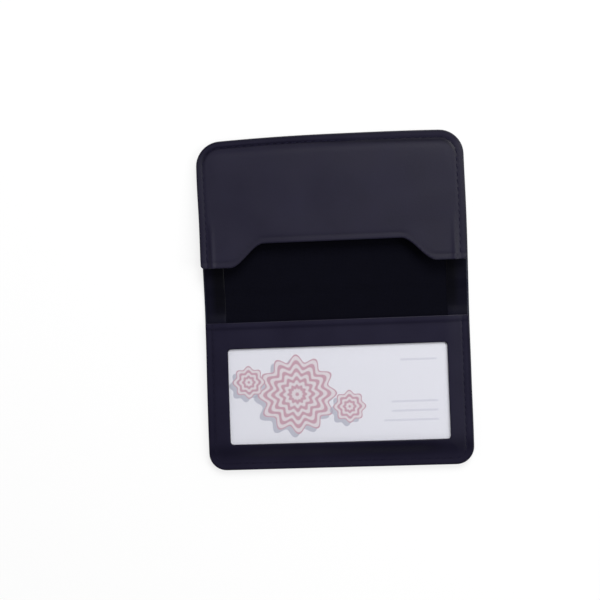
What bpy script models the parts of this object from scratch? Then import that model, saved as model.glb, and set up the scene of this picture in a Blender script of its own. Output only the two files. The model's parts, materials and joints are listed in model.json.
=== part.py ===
"""Leather business card holder, lying open: two covers joined by a spine.

The front cover, on the far side (+Y), carries a gusseted pocket whose mouth faces the spine.
The back cover, on the near side (-Y), carries a window pocket with one business card in it.
The spine lies along X. The origin is on the table, under the middle of the spine.
Lengths are in metres. Each cover is drawn with its fold line at y = 0 and its free edge at +Y,
and the back cover is then turned half round.
"""

import math

import bmesh
import bpy
from mathutils import Vector

# Driving sizes of the outline
WIDTH = 0.1016
COVER_LENGTH = 0.0582
SPINE_WIDTH = 0.0116
FRONT_CORNER_RADIUS = 0.0085
BACK_CORNER_RADIUS = 0.0065

# Thicknesses of the materials
OUTER_LEATHER = 0.0008
TURNED_LEATHER = 0.0005
INNER_LEATHER = 0.0007
BOARD = 0.0005
LINING = 0.0002
FILM = 0.0002
CARD = 0.00035
GUSSET_LEATHER = 0.0004

# Clearances
GLUE_LINE = 0.0001
FIT_GAP = 0.0003
SLIP_GAP = 0.0002
EDGE_STEP = 0.0002

# Turned edge of the outer leather
HEM_WIDTH = 0.008
HEM_ROUNDING = 0.0007
SPINE_END_ROUNDING = 0.0004

# Window pocket on the back cover
SEAM_MARGIN = 0.004
FRAME_ROUNDING = 0.0005
MOUTH_HEM_WIDTH = 0.005
WINDOW_SIDE_BORDER = 0.0088
WINDOW_HEIGHT = 0.0368
WINDOW_FROM_EDGE = 0.0102
WINDOW_CORNER_RADIUS = 0.0012
CARD_SIDE_ROOM = 0.00635
CARD_HEIGHT = 0.0508

# Gusseted pocket on the front cover
PANEL_LENGTH = 0.0458
PANEL_MARGIN = 0.004
PANEL_ROUNDING = 0.00025
PANEL_HEM_WIDTH = 0.003
POCKET_OPEN_ANGLE = math.radians(6.5)
NOTCH_DEPTH = 0.0089
NOTCH_INSET = 0.0014
NOTCH_SLOPE_WIDTH = 0.0132
SHOULDER_RADIUS = 0.0015
GUSSET_WIDTH = 0.0094
GUSSET_SEAM_WIDTH = 0.0032
GUSSET_SETBACK = 0.001

# Steps along a rounded corner, along the notch's S curves and round an edge
CORNER_STEPS = 10
NOTCH_STEPS = 10
ROUNDING_STEPS = 3

# How far a cutter runs past what it cuts, and the smallest inside corner
OVERRUN = 0.003
INSIDE_CORNER = 0.001

# Faces that meet at more than this make a sharp edge
SHARP_ANGLE = math.radians(50)

# Heights above the table, worked out from the thicknesses
BOARD_BOTTOM = OUTER_LEATHER + GLUE_LINE
BOARD_TOP = BOARD_BOTTOM + BOARD
HEM_BOTTOM = BOARD_TOP + GLUE_LINE
HEM_TOP = HEM_BOTTOM + TURNED_LEATHER
LINING_TOP = HEM_BOTTOM + LINING
SEAM_BOTTOM = HEM_TOP + GLUE_LINE
CARD_BOTTOM = HEM_TOP + SLIP_GAP
CARD_TOP = CARD_BOTTOM + CARD
FILM_BOTTOM = CARD_TOP + SLIP_GAP
FILM_TOP = FILM_BOTTOM + FILM
FRAME_BOTTOM = FILM_TOP + GLUE_LINE
FRAME_TOP = FRAME_BOTTOM + INNER_LEATHER

# The fold: both hinge lines lie halfway up the spine's turned edge
SPINE_THICKNESS = OUTER_LEATHER + TURNED_LEATHER
FOLD_Y = SPINE_WIDTH / 2
FOLD_Z = SPINE_THICKNESS / 2
COVER_START = FOLD_Z + FIT_GAP

# Widths worked out from the holder's own
HALF_WIDTH = WIDTH / 2
INNER_HALF_WIDTH = HALF_WIDTH - EDGE_STEP
WINDOW_HALF_WIDTH = HALF_WIDTH - WINDOW_SIDE_BORDER
CARD_HALF_WIDTH = HALF_WIDTH - CARD_SIDE_ROOM
GUSSET_OUTSIDE = INNER_HALF_WIDTH - FIT_GAP
BACKING_HALF_WIDTH = GUSSET_OUTSIDE - GUSSET_WIDTH - FIT_GAP
NOTCH_TOP_HALF = BACKING_HALF_WIDTH - NOTCH_INSET
NOTCH_FLAT_HALF = NOTCH_TOP_HALF - NOTCH_SLOPE_WIDTH

# The pocket panel bends up along a line beside its sewn margin
MARGIN_TOP = SEAM_BOTTOM + TURNED_LEATHER + INNER_LEATHER
FLEX_Y = COVER_LENGTH - PANEL_MARGIN
FLEX_Z = MARGIN_TOP - INNER_LEATHER / 2
MARGIN_START = FLEX_Y + INNER_LEATHER / 2 + FIT_GAP
PANEL_HEM = GLUE_LINE + LINING


def clear_scene():
    """Take away what the file held before."""
    for found in list(bpy.data.objects):
        bpy.data.objects.remove(found, do_unlink=True)


def new_collection(name):
    """Make a collection under the scene's own."""
    collection = bpy.data.collections.new(name)
    bpy.context.scene.collection.children.link(collection)
    return collection


def new_material(name, colour, roughness, alpha=1.0):
    """Make a plain Principled material from a linear colour."""
    material = bpy.data.materials.new(name)
    material.use_nodes = True
    shader = material.node_tree.nodes["Principled BSDF"]
    shader.inputs["Base Color"].default_value = (*colour, 1.0)
    shader.inputs["Roughness"].default_value = roughness
    shader.inputs["Metallic"].default_value = 0.0
    shader.inputs["Alpha"].default_value = alpha
    return material


def new_axis(name, location, turn=0.0, parent=None):
    """Put an empty on a fold line, for the pieces that turn about it."""
    axis = bpy.data.objects.new(name, None)
    axis.location = location
    axis.rotation_euler = (0.0, 0.0, turn)
    axis.parent = parent
    PARTS.objects.link(axis)
    return axis


def arc(centre, radius, start, stop, steps):
    """List the points of a circular arc, its ends included."""
    points = []
    for step in range(steps + 1):
        angle = start + (stop - start) * step / steps
        points.append((centre[0] + radius * math.cos(angle), centre[1] + radius * math.sin(angle)))
    return points


def mirrored(right_half):
    """Close an outline from its right half, listed away from the line x = 0 or across it."""
    left_half = [(-x, y) for x, y in reversed(right_half) if x > 0.0]
    return right_half + left_half


def cover_outline(inset, corner_radius, start):
    """Outline of a cover, drawn in by inset on the three sides that are not the fold."""
    radius = max(corner_radius - inset, INSIDE_CORNER)
    side = HALF_WIDTH - inset
    end = COVER_LENGTH - inset
    corner = arc((side - radius, end - radius), radius, 0.0, math.pi / 2, CORNER_STEPS)
    return mirrored([(side, start)] + corner)


def rounded_rectangle(half_width, near, far, radius):
    """Outline of a rectangle with four round corners."""
    low = arc((half_width - radius, near + radius), radius, -math.pi / 2, 0.0, CORNER_STEPS // 2)
    high = arc((half_width - radius, far - radius), radius, 0.0, math.pi / 2, CORNER_STEPS // 2)
    return mirrored(low + high)


def rectangle(half_width, near, far):
    """Outline of a plain rectangle."""
    return mirrored([(half_width, near), (half_width, far)])


def mesh_from_curve(curve_object, collection):
    """Turn a filled curve into a welded mesh object of the same name and place."""
    name = curve_object.name
    graph = bpy.context.evaluated_depsgraph_get()
    mesh = bpy.data.meshes.new_from_object(curve_object.evaluated_get(graph))
    place = curve_object.matrix_world.copy()
    bpy.data.objects.remove(curve_object, do_unlink=True)
    welded = bmesh.new()
    welded.from_mesh(mesh)
    bmesh.ops.remove_doubles(welded, verts=welded.verts, dist=1e-6)
    bmesh.ops.recalc_face_normals(welded, faces=welded.faces)
    welded.to_mesh(mesh)
    welded.free()
    solid = bpy.data.objects.new(name, mesh)
    solid.matrix_world = place
    collection.objects.link(solid)
    return solid


def sheet(name, outline, bottom, top, collection=None):
    """Cut a flat sheet: a closed 2D curve, filled and extruded between two heights."""
    collection = collection or PARTS
    curve = bpy.data.curves.new(name, "CURVE")
    curve.dimensions = "2D"
    curve.fill_mode = "BOTH"
    curve.extrude = (top - bottom) / 2
    spline = curve.splines.new("POLY")
    spline.points.add(len(outline) - 1)
    for point, (x, y) in zip(spline.points, outline):
        point.co = (x, y, 0.0, 1.0)
    spline.use_cyclic_u = True
    drawn = bpy.data.objects.new(name, curve)
    collection.objects.link(drawn)
    drawn.location.z = (bottom + top) / 2
    bpy.context.view_layer.update()
    solid = mesh_from_curve(drawn, collection)
    solid.data.transform(solid.matrix_world)
    solid.matrix_world.identity()
    return solid


def bar(name, profile, length):
    """Extrude a profile of (y, z) points along X, centred on x = 0."""
    solid = sheet(name, profile, -length / 2, length / 2)
    for vertex in solid.data.vertices:
        along, across, up = vertex.co.z, vertex.co.x, vertex.co.y
        vertex.co = (along, across, up)
    return solid


def round_edges(solid, width, square_side=None):
    """Round the sharp edges of a sheet, apart from those of a side at this y that stays square."""
    marked = bmesh.new()
    marked.from_mesh(solid.data)
    weight = marked.edges.layers.float.new("bevel_weight_edge")
    for edge in marked.edges:
        sharp = edge.calc_face_angle() > SHARP_ANGLE
        square = square_side is not None and all(
            abs(vertex.co.y - square_side) < GLUE_LINE for vertex in edge.verts)
        edge[weight] = 1.0 if sharp and not square else 0.0
    marked.to_mesh(solid.data)
    marked.free()
    bevel = solid.modifiers.new("rounded edge", "BEVEL")
    bevel.width = width
    bevel.segments = ROUNDING_STEPS
    bevel.limit_method = "WEIGHT"


def cut(solid, outline, bottom, top, name):
    """Take a sheet-shaped cutter out of a solid."""
    cutter = sheet(name, outline, bottom, top, CUTTERS)
    cutter.hide_render = True
    cutter.display_type = "WIRE"
    cutter.parent = solid
    difference = solid.modifiers.new(name, "BOOLEAN")
    difference.operation = "DIFFERENCE"
    difference.object = cutter


def finish(solid, material, parent, location=(0.0, 0.0, 0.0), tilt=0.0):
    """Give a piece its material and hang it on what carries it."""
    solid.data.materials.clear()
    solid.data.materials.append(material)
    solid.parent = parent
    solid.location = location
    solid.rotation_euler = (tilt, 0.0, 0.0)
    solid.data.shade_smooth()
    solid.data.set_sharp_from_angle(angle=math.radians(40))
    return solid


def cover_leather(name, corner_radius, cover):
    """Outer leather of a cover, turned in over the board's edge on three sides."""
    leather = sheet(name, cover_outline(0.0, corner_radius, COVER_START), 0.0, HEM_TOP)
    round_edges(leather, HEM_ROUNDING, COVER_START)
    slot = cover_outline(OUTER_LEATHER, corner_radius, -OVERRUN)
    cut(leather, slot, OUTER_LEATHER, HEM_BOTTOM, name + "_board_slot")
    opening = cover_outline(HEM_WIDTH, corner_radius, -OVERRUN)
    cut(leather, opening, BOARD_TOP, HEM_TOP + OVERRUN, name + "_hem_opening")
    return finish(leather, LEATHER, cover, ON_TABLE)


def cover_board(name, corner_radius, cover):
    """Stiff board inside a cover."""
    inset = OUTER_LEATHER + FIT_GAP
    board = sheet(name, cover_outline(inset, corner_radius, COVER_START), BOARD_BOTTOM, BOARD_TOP)
    return finish(board, CARDBOARD, cover, ON_TABLE)


def cover_lining(name, corner_radius, cover):
    """Lining of a cover, inside the turned edge."""
    inset = HEM_WIDTH + FIT_GAP
    lining = sheet(name, cover_outline(inset, corner_radius, COVER_START), HEM_BOTTOM, LINING_TOP)
    return finish(lining, CLOTH, cover, ON_TABLE)


def spine_profile():
    """Section of the spine: flat below, and rounded about both fold lines."""
    near = arc((-FOLD_Y, FOLD_Z), FOLD_Z, 1.5 * math.pi, 0.5 * math.pi, CORNER_STEPS)
    far = arc((FOLD_Y, FOLD_Z), FOLD_Z, 0.5 * math.pi, -0.5 * math.pi, CORNER_STEPS)
    return near + far


def spine_pieces(spine):
    """Leather and lining between the two fold lines."""
    leather = bar("spine_leather", spine_profile(), WIDTH)
    round_edges(leather, SPINE_END_ROUNDING)
    recess = rectangle(HALF_WIDTH - HEM_WIDTH, -FOLD_Y - OVERRUN, FOLD_Y + OVERRUN)
    cut(leather, recess, OUTER_LEATHER, SPINE_THICKNESS + OVERRUN, "spine_lining_recess")
    from_near_fold = (0.0, FOLD_Y, -FOLD_Z)
    finish(leather, LEATHER, spine, from_near_fold)
    lining = sheet("spine_lining", rectangle(HALF_WIDTH - HEM_WIDTH - FIT_GAP, -FOLD_Y, FOLD_Y),
                   BOARD_BOTTOM, BOARD_BOTTOM + LINING)
    finish(lining, CLOTH, spine, from_near_fold)


def window_pocket(cover):
    """Leather frame with a clear window, sewn down on three sides, over one card."""
    frame = sheet("window_frame", cover_outline(EDGE_STEP, BACK_CORNER_RADIUS, COVER_START),
                  SEAM_BOTTOM, FRAME_TOP)
    round_edges(frame, FRAME_ROUNDING, COVER_START)
    pocket_half = INNER_HALF_WIDTH - SEAM_MARGIN
    pocket_end = COVER_LENGTH - EDGE_STEP - SEAM_MARGIN
    film_start = COVER_START + MOUTH_HEM_WIDTH
    below = SEAM_BOTTOM - OVERRUN
    cut(frame, rectangle(pocket_half, -OVERRUN, pocket_end), below, FILM_BOTTOM, "card_space")
    cut(frame, rectangle(pocket_half, film_start, pocket_end), below, FRAME_BOTTOM, "film_space")
    window_far = COVER_LENGTH - WINDOW_FROM_EDGE
    window = rounded_rectangle(WINDOW_HALF_WIDTH, window_far - WINDOW_HEIGHT, window_far,
                               WINDOW_CORNER_RADIUS)
    cut(frame, window, below, FRAME_TOP + OVERRUN, "window_opening")
    finish(frame, LEATHER, cover, ON_TABLE)

    film = sheet("window_film",
                 rectangle(pocket_half - FIT_GAP, film_start + FIT_GAP, pocket_end - FIT_GAP),
                 FILM_BOTTOM, FILM_TOP)
    finish(film, CLEAR_VINYL, cover, ON_TABLE)

    card_far = pocket_end - FIT_GAP
    card = sheet("business_card", rectangle(CARD_HALF_WIDTH, card_far - CARD_HEIGHT, card_far),
                 CARD_BOTTOM, CARD_TOP)
    finish(card, PAPER, cover, ON_TABLE)


def mouth_line(setback, outer_x):
    """Right half of the pocket's mouth, from the side inwards, with its thumb notch.

    y is measured from the flex line, and the mouth lies at -Y."""
    shoulder = -PANEL_LENGTH + setback
    points = [(outer_x, shoulder)]
    for step in range(NOTCH_STEPS + 1):
        share = step / NOTCH_STEPS
        eased = share * share * (3.0 - 2.0 * share)
        x = NOTCH_TOP_HALF + (NOTCH_FLAT_HALF - NOTCH_TOP_HALF) * share
        points.append((x, shoulder + NOTCH_DEPTH * eased))
    return points


def panel_outline():
    """Outline of the pocket panel, following the cover's far corners and the mouth."""
    radius = FRONT_CORNER_RADIUS - EDGE_STEP
    centre = (HALF_WIDTH - FRONT_CORNER_RADIUS, COVER_LENGTH - FRONT_CORNER_RADIUS - FLEX_Y)
    far_edge = INNER_LEATHER / 2
    start = math.asin(min(max((far_edge - centre[1]) / radius, 0.0), 1.0))
    corner = arc(centre, radius, start, 0.0, CORNER_STEPS)
    shoulder = arc((INNER_HALF_WIDTH - SHOULDER_RADIUS, SHOULDER_RADIUS - PANEL_LENGTH),
                   SHOULDER_RADIUS, 0.0, -math.pi / 2, CORNER_STEPS // 2)
    mouth = mouth_line(0.0, NOTCH_TOP_HALF)[1:]
    return mirrored(corner + shoulder + mouth)


def recess_outline(inner_half):
    """Outline of the panel's underside recess, which leaves the turned mouth edge standing."""
    mouth = mouth_line(PANEL_HEM_WIDTH, inner_half)
    outside = -PANEL_LENGTH - OVERRUN
    far = FLEX_Y
    return mirrored([(WIDTH, far), (WIDTH, outside), (inner_half, outside)] + mouth)


def gusset_section(sign, y, height):
    """Section of a folded gusset at y: two leaves, sewn at the side and folded inwards."""
    thick = GUSSET_LEATHER
    fold = GUSSET_OUTSIDE - GUSSET_WIDTH
    seam = GUSSET_OUTSIDE - GUSSET_SEAM_WIDTH
    half = height / 2
    upper = [(GUSSET_OUTSIDE, half), (seam, half), (fold + thick, thick / 2), (fold, 0.0)]
    inner = [(GUSSET_OUTSIDE, half - thick), (seam - thick / 2, half - thick),
             (fold + 2 * thick, 0.0)]
    ring = upper + [(x, -z) for x, z in reversed(upper[:-1])]
    ring += [(x, -z) for x, z in inner] + [(x, z) for x, z in reversed(inner[:-1])]
    middle = SEAM_BOTTOM + half
    return [Vector((sign * x, y, middle + z)) for x, z in ring]


def gusset(name, sign, mouth_y, far_y, panel_underside, cover):
    """Loft a gusset from its low far end to its open mouth."""
    shape = bmesh.new()
    loops = []
    for y in (mouth_y, far_y):
        height = panel_underside(y) - GLUE_LINE - SEAM_BOTTOM
        ring = [shape.verts.new(point) for point in gusset_section(sign, y, height)]
        loops.append(shape.faces.new(ring))
    edges = [edge for face in loops for edge in face.edges]
    bmesh.ops.bridge_loops(shape, edges=edges)
    bmesh.ops.recalc_face_normals(shape, faces=shape.faces)
    mesh = bpy.data.meshes.new(name)
    shape.to_mesh(mesh)
    shape.free()
    solid = bpy.data.objects.new(name, mesh)
    PARTS.objects.link(solid)
    return finish(solid, LEATHER, cover, ON_TABLE)


def gusseted_pocket(cover):
    """Sewn margin, lifting panel with its backing, and the two side gussets."""
    margin = sheet("pocket_margin", cover_outline(EDGE_STEP, FRONT_CORNER_RADIUS, -OVERRUN),
                   SEAM_BOTTOM, MARGIN_TOP)
    round_edges(margin, FRAME_ROUNDING)
    cut(margin, rectangle(WIDTH, -2 * OVERRUN, MARGIN_START), 0.0, MARGIN_TOP + OVERRUN,
        "margin_flex_cut")
    finish(margin, LEATHER, cover, ON_TABLE)

    flex = new_axis("pocket_flex_axis", (0.0, FLEX_Y, FLEX_Z - FOLD_Z), parent=cover)
    half = INNER_LEATHER / 2
    panel = sheet("pocket_panel", panel_outline(), -half - PANEL_HEM, half)
    round_edges(panel, PANEL_ROUNDING)
    cut(panel, recess_outline(BACKING_HALF_WIDTH), -half - PANEL_HEM - OVERRUN, -half,
        "panel_underside_recess")
    finish(panel, LEATHER, flex, tilt=-POCKET_OPEN_ANGLE)

    backing_far = -FIT_GAP
    mouth = mouth_line(PANEL_HEM_WIDTH + FIT_GAP, BACKING_HALF_WIDTH)
    backing = sheet("pocket_backing", mirrored([(BACKING_HALF_WIDTH, backing_far)] + mouth),
                    -half - PANEL_HEM, -half - GLUE_LINE)
    finish(backing, CLOTH, flex, tilt=-POCKET_OPEN_ANGLE)

    slope = math.tan(POCKET_OPEN_ANGLE)
    underside_at_flex = FLEX_Z - half / math.cos(POCKET_OPEN_ANGLE)

    def panel_underside(y):
        return underside_at_flex + (FLEX_Y - y) * slope

    mouth_y = FLEX_Y - PANEL_LENGTH * math.cos(POCKET_OPEN_ANGLE) + GUSSET_SETBACK
    lowest = 2 * GUSSET_LEATHER + 2 * GLUE_LINE
    far_y = FLEX_Y - (SEAM_BOTTOM + lowest - underside_at_flex) / slope
    gusset("gusset_left", -1, mouth_y, far_y, panel_underside, cover)
    gusset("gusset_right", 1, mouth_y, far_y, panel_underside, cover)


clear_scene()
PARTS = new_collection("business_card_holder")
CUTTERS = new_collection("cutters")
ON_TABLE = (0.0, 0.0, -FOLD_Z)

LEATHER = new_material("navy leather", (0.021, 0.020, 0.034), 0.5)
CLOTH = new_material("dark lining", (0.006, 0.006, 0.009), 0.75)
CARDBOARD = new_material("grey board", (0.25, 0.23, 0.20), 0.9)
CLEAR_VINYL = new_material("clear vinyl", (0.80, 0.82, 0.84), 0.12, alpha=0.25)
PAPER = new_material("card stock", (0.72, 0.72, 0.78), 0.6)

back_cover = new_axis("back_cover_frame", (0.0, -FOLD_Y, FOLD_Z), turn=math.pi)
cover_leather("back_leather", BACK_CORNER_RADIUS, back_cover)
cover_board("back_board", BACK_CORNER_RADIUS, back_cover)
cover_lining("back_lining", BACK_CORNER_RADIUS, back_cover)
window_pocket(back_cover)

spine_axis = new_axis("spine_fold_axis", (0.0, -FOLD_Y, FOLD_Z))
spine_pieces(spine_axis)

front_cover = new_axis("cover_fold_axis", (0.0, FOLD_Y, FOLD_Z))
cover_leather("front_leather", FRONT_CORNER_RADIUS, front_cover)
cover_board("front_board", FRONT_CORNER_RADIUS, front_cover)
cover_lining("front_lining", FRONT_CORNER_RADIUS, front_cover)
gusseted_pocket(front_cover)
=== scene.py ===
# %% [markdown]
# # A leather business card holder, dressed over its frame
#
# The holder is two stiff covers joined by a soft spine. It lies open and flat: the far cover
# carries a gusseted pocket for spare cards, and the near one a clear window with one card in it.
# The imported frame brings the solids and their joints. This script makes the leather, the lining,
# the vinyl and the thread that are seen, and hangs some of them on the body that they move with.

# %% The frame and its box
import json
import math

import bmesh
import bpy
from mathutils import Matrix, Vector, noise


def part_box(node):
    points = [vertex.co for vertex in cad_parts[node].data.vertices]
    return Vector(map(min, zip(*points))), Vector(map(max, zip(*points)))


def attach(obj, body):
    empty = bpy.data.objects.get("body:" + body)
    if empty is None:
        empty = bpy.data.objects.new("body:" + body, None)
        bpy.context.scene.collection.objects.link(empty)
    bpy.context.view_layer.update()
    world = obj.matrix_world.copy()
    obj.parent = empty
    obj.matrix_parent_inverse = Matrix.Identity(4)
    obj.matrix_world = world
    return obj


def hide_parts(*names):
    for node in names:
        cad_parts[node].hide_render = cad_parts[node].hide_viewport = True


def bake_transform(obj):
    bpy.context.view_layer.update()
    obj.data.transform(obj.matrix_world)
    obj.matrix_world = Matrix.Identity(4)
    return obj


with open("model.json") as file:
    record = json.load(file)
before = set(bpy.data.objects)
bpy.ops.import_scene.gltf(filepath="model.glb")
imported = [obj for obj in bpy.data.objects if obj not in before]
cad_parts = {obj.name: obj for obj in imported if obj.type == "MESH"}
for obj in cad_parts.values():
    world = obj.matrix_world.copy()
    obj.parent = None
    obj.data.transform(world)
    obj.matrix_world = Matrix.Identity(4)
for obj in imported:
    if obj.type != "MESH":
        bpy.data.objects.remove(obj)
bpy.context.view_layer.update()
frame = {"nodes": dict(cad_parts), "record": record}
MM = 0.001

# %% [markdown]
# ## Sizes
#
# Most sizes are read from the frame, so that the leather always fits the solids beneath it. The
# others are those that only the eye needs, such as how far a seam lies from its edge.

# %% Sizes read from the frame
joints = {joint["name"]: joint for joint in frame["record"]["behaviour"]["joints"]}
FOLD_Y, FOLD_Z = joints["cover_fold"]["pos_m"][1:]
FLEX_Y = joints["pocket_flex"]["pos_m"][1]
HALF_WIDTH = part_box("spine_leather")[1][0]
FREE_EDGE, EDGE_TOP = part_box("front_leather")[1][1:]
INNER_HALF, MOUTH_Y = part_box("window_frame")[1][:2]
INNER_FREE_EDGE = -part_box("window_frame")[0][1]
MARGIN_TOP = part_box("pocket_margin")[1][2]
LINING_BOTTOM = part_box("back_lining")[0][2]
LINING_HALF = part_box("back_lining")[1][0]
LINING_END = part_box("front_lining")[1][1]
print("half width", HALF_WIDTH / MM, "free edge", FREE_EDGE / MM, "fold", FOLD_Y / MM)

# %% Sizes of the seams and edges
FRONT_CORNER = 9.0 * MM
BACK_CORNER = 6.8 * MM
INSIDE_CORNER = 1.0 * MM
OUTER_LEATHER = 0.8 * MM
HEM_WIDTH = HALF_WIDTH - LINING_HALF
SEAM_BOTTOM = EDGE_TOP + 0.1 * MM
STITCH_INSET = 2.6 * MM
GROOVE_DEPTH = 0.09 * MM
GROOVE_WIDTH = 0.5 * MM
POCKET_LEATHER = 0.7 * MM
LINING = 0.2 * MM

# %% [markdown]
# ## A flat piece of leather
#
# Leather goods are cut flat, so every piece here starts flat too: a rectangle whose corners are
# rounded by a vertex bevel, pulled up to its thickness, with the cut edges eased by an edge
# bevel. Upright cuts then divide it into a lattice, and only then is it bent, because a face
# can't bend between its corners.


# %% Outline, thickness and lattice
CORNER_STEPS = 10
EASED_STEPS = 3
SHARP = math.radians(50)
TOUCH = 1e-7


def rounded_outline(shape, half_width, near, far, near_radius=0.0, far_radius=0.0, z=0.0):
    """Add one flat rectangle with round corners, and return its face."""
    before = set(shape.faces)
    middle = (near + far) / 2
    place = Matrix.Translation((0.0, middle, z)) @ Matrix.Diagonal((2 * half_width, far - near, 1, 1))
    corners = bmesh.ops.create_grid(shape, x_segments=1, y_segments=1, size=0.5, matrix=place)["verts"]
    near_pair = [vertex for vertex in corners if vertex.co.y < middle]
    far_pair = [vertex for vertex in corners if vertex.co.y > middle]
    for pair, radius in ((near_pair, near_radius), (far_pair, far_radius)):
        bmesh.ops.bevel(shape, geom=pair, affect="VERTICES", offset=radius, segments=CORNER_STEPS,
                        profile=0.5, material=-1)
    return (set(shape.faces) - before).pop()


def thicken(shape, thickness):
    """Pull flat faces up to a thickness, which leaves a closed body."""
    made = bmesh.ops.extrude_face_region(shape, geom=shape.faces[:])["geom"]
    top = [part for part in made if isinstance(part, bmesh.types.BMVert)]
    bmesh.ops.translate(shape, verts=top, vec=(0.0, 0.0, thickness))
    bmesh.ops.recalc_face_normals(shape, faces=shape.faces[:])


def ease_edges(shape, width):
    """Round every sharp edge of a flat body a little, as a creased or painted edge is."""
    sharp = [edge for edge in shape.edges
             if len(edge.link_faces) == 2 and edge.calc_face_angle() > SHARP]
    flat = [edge for edge in sharp if abs(edge.verts[0].co.z - edge.verts[1].co.z) < TOUCH]
    bmesh.ops.bevel(shape, geom=flat, affect="EDGES", offset=width, segments=EASED_STEPS,
                    profile=0.5, material=-1)


def stations(low, high, fine, coarse=0.0, edge=math.inf):
    """List cut positions between low and high: fine within edge of both ends, coarse elsewhere."""
    places = [low]
    while places[-1] < high:
        near_end = places[-1] < low + edge or places[-1] > high - edge
        places.append(places[-1] + (fine if near_end else coarse))
    return places[1:-1]


def cut(shape, normal, place=0.0, clear=False):
    """Cut a body by a plane at a distance from the origin, and clear what is behind it if asked."""
    everything = shape.verts[:] + shape.edges[:] + shape.faces[:]
    bmesh.ops.bisect_plane(shape, geom=everything, plane_co=Vector(normal) * place,
                           plane_no=normal, clear_inner=clear, dist=TOUCH)


def cut_lattice(shape, across, along):
    """Cut a body by upright planes at the x values across and the y values along."""
    for place in across:
        cut(shape, (1, 0, 0), place)
    for place in along:
        cut(shape, (0, 1, 0), place)


def plate(half_width, near, far, thickness, across, along, radii=(0.0, 0.0), z=0.0):
    """A flat plate of board, cloth or leather, with a lattice of even steps across and along."""
    shape = bmesh.new()
    rounded_outline(shape, half_width, near, far, *radii, z)
    thicken(shape, thickness)
    cut_lattice(shape, stations(-half_width, half_width, across), stations(near, far, along))
    return shape


# %% [markdown]
# ## Curves and slow waves
#
# A smooth step goes from 0 to 1 with no kink, as leather goes over a card's edge, and a bell
# makes a crease. Slow noise keeps a soft surface from looking like sheet metal. The distance to a
# sewn edge says where a seam presses a piece down. The sway is what sewing and use do to the
# whole outline: it is drawn in towards its far corners, most on the left, and its sides aren't
# straight.


# %% Shaping helpers
def ease(value, start, stop):
    """Go smoothly from 0 at start to 1 at stop."""
    share = min(max((value - start) / (stop - start), 0.0), 1.0)
    return share * share * (3.0 - 2.0 * share)


def bell(value, middle, width):
    """A smooth bump of height 1 about a middle value."""
    return math.exp(-((value - middle) / width) ** 2)


def wave(point, length, height, seed):
    """Slow noise of a given wave length and height over the plan."""
    place = Vector((point.x / length, point.y / length, seed))
    return noise.noise(place) * height


def edge_distance(point, half_width, end, radius):
    """Distance inwards from the nearest of three sides: the two beside x and the end at y = end."""
    side_room = half_width - abs(point.x)
    end_room = end - abs(point.y)
    if side_room < radius and end_room < radius:
        return radius - math.hypot(radius - side_room, radius - end_room)
    return min(side_room, end_room)


def edge_nearness(*distances):
    """How near a point is to the nearest of several edges: 1 on it, falling to 0 within 5 mm."""
    return math.exp(-max(min(distances), 0.0) / (2.0 * MM))


def sway(x, y):
    """Where a point of the true outline lies on the finished holder, which isn't quite square."""
    across = x / HALF_WIDTH
    aside = wave(Vector((0.0, y, 0.0)), 30 * MM, 0.25 * MM, 5.0 if x > 0 else 8.0)
    if x > 0:
        aside += 0.15 * MM + 0.3 * MM * bell(y, 27 * MM, 18 * MM)
        drawn_in = 0.7 * MM * across ** 3
    else:
        aside += 0.3 * MM * bell(y, 4 * MM, 18 * MM) - 0.5 * MM * ease(-y, 10 * MM, 58 * MM)
        aside -= 0.45 * MM * ease(y, 30 * MM, 52 * MM)
        drawn_in = 1.5 * MM * across ** 2
    far = ease(y, 20 * MM, FREE_EDGE)
    near = ease(-y, 40 * MM, FREE_EDGE)
    return x + aside * abs(across), y - drawn_in * far - 0.25 * MM * near * (0.6 + 0.4 * across)


def on_outline(point, height):
    """Where a point of the true outline lies on the finished holder, at a height."""
    return Vector((*sway(point.x, point.y), height))


def new_piece(name, shape, warp, material, slot, **marks):
    """Bend a finished bmesh, and make it an object with its material and marks. The slot is not used.

    Each mark is a function of a point of the flat piece, kept as an attribute of that name."""
    for mark, measure in marks.items():
        layer = shape.verts.layers.float.new(mark)
        for vertex in shape.verts:
            vertex[layer] = measure(vertex.co)
    for vertex in shape.verts:
        vertex.co = warp(vertex.co)
    bmesh.ops.recalc_face_normals(shape, faces=shape.faces[:])
    mesh = bpy.data.meshes.new(name)
    shape.to_mesh(mesh)
    shape.free()
    mesh.materials.append(material)
    mesh.shade_smooth()
    mesh.set_sharp_from_angle(angle=SHARP)
    piece = bpy.data.objects.new(name, mesh)
    bpy.context.scene.collection.objects.link(piece)
    print(name, len(mesh.polygons), "faces")
    return piece


# %% [markdown]
# ## Materials: how they are built
#
# All patterns are procedural and read Object coordinates, so they are drawn at their real size.
# One helper fills a node's inputs, with another node, a socket, a hex colour or a plain value,
# and one adds a node with its settings and fills it.


# %% Material helpers
def linear(hex_colour):
    """Turn an sRGB hex colour to the linear values that a shader takes."""
    values = [int(hex_colour[place:place + 2], 16) / 255 for place in (1, 3, 5)]
    turned = [value / 12.92 if value <= 0.04045 else ((value + 0.055) / 1.055) ** 2.4
              for value in values]
    return (*turned, 1.0)


def fill(node, inputs):
    """Link or set a node's inputs by name or number; of a node, its first live output is taken."""
    for name, value in inputs.items():
        if isinstance(value, bpy.types.Node):
            value = next(socket for socket in value.outputs if socket.enabled)
        if isinstance(value, bpy.types.NodeSocket):
            node.id_data.links.new(value, node.inputs[name])
        else:
            node.inputs[name].default_value = linear(value) if isinstance(value, str) else value


def add(tree, kind, inputs=None, **settings):
    """Add a shader node of a kind with its settings, and fill its inputs."""
    node = tree.nodes.new("ShaderNode" + kind)
    for name, value in settings.items():
        setattr(node, name, value)
    fill(node, inputs or {})
    return node


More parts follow.
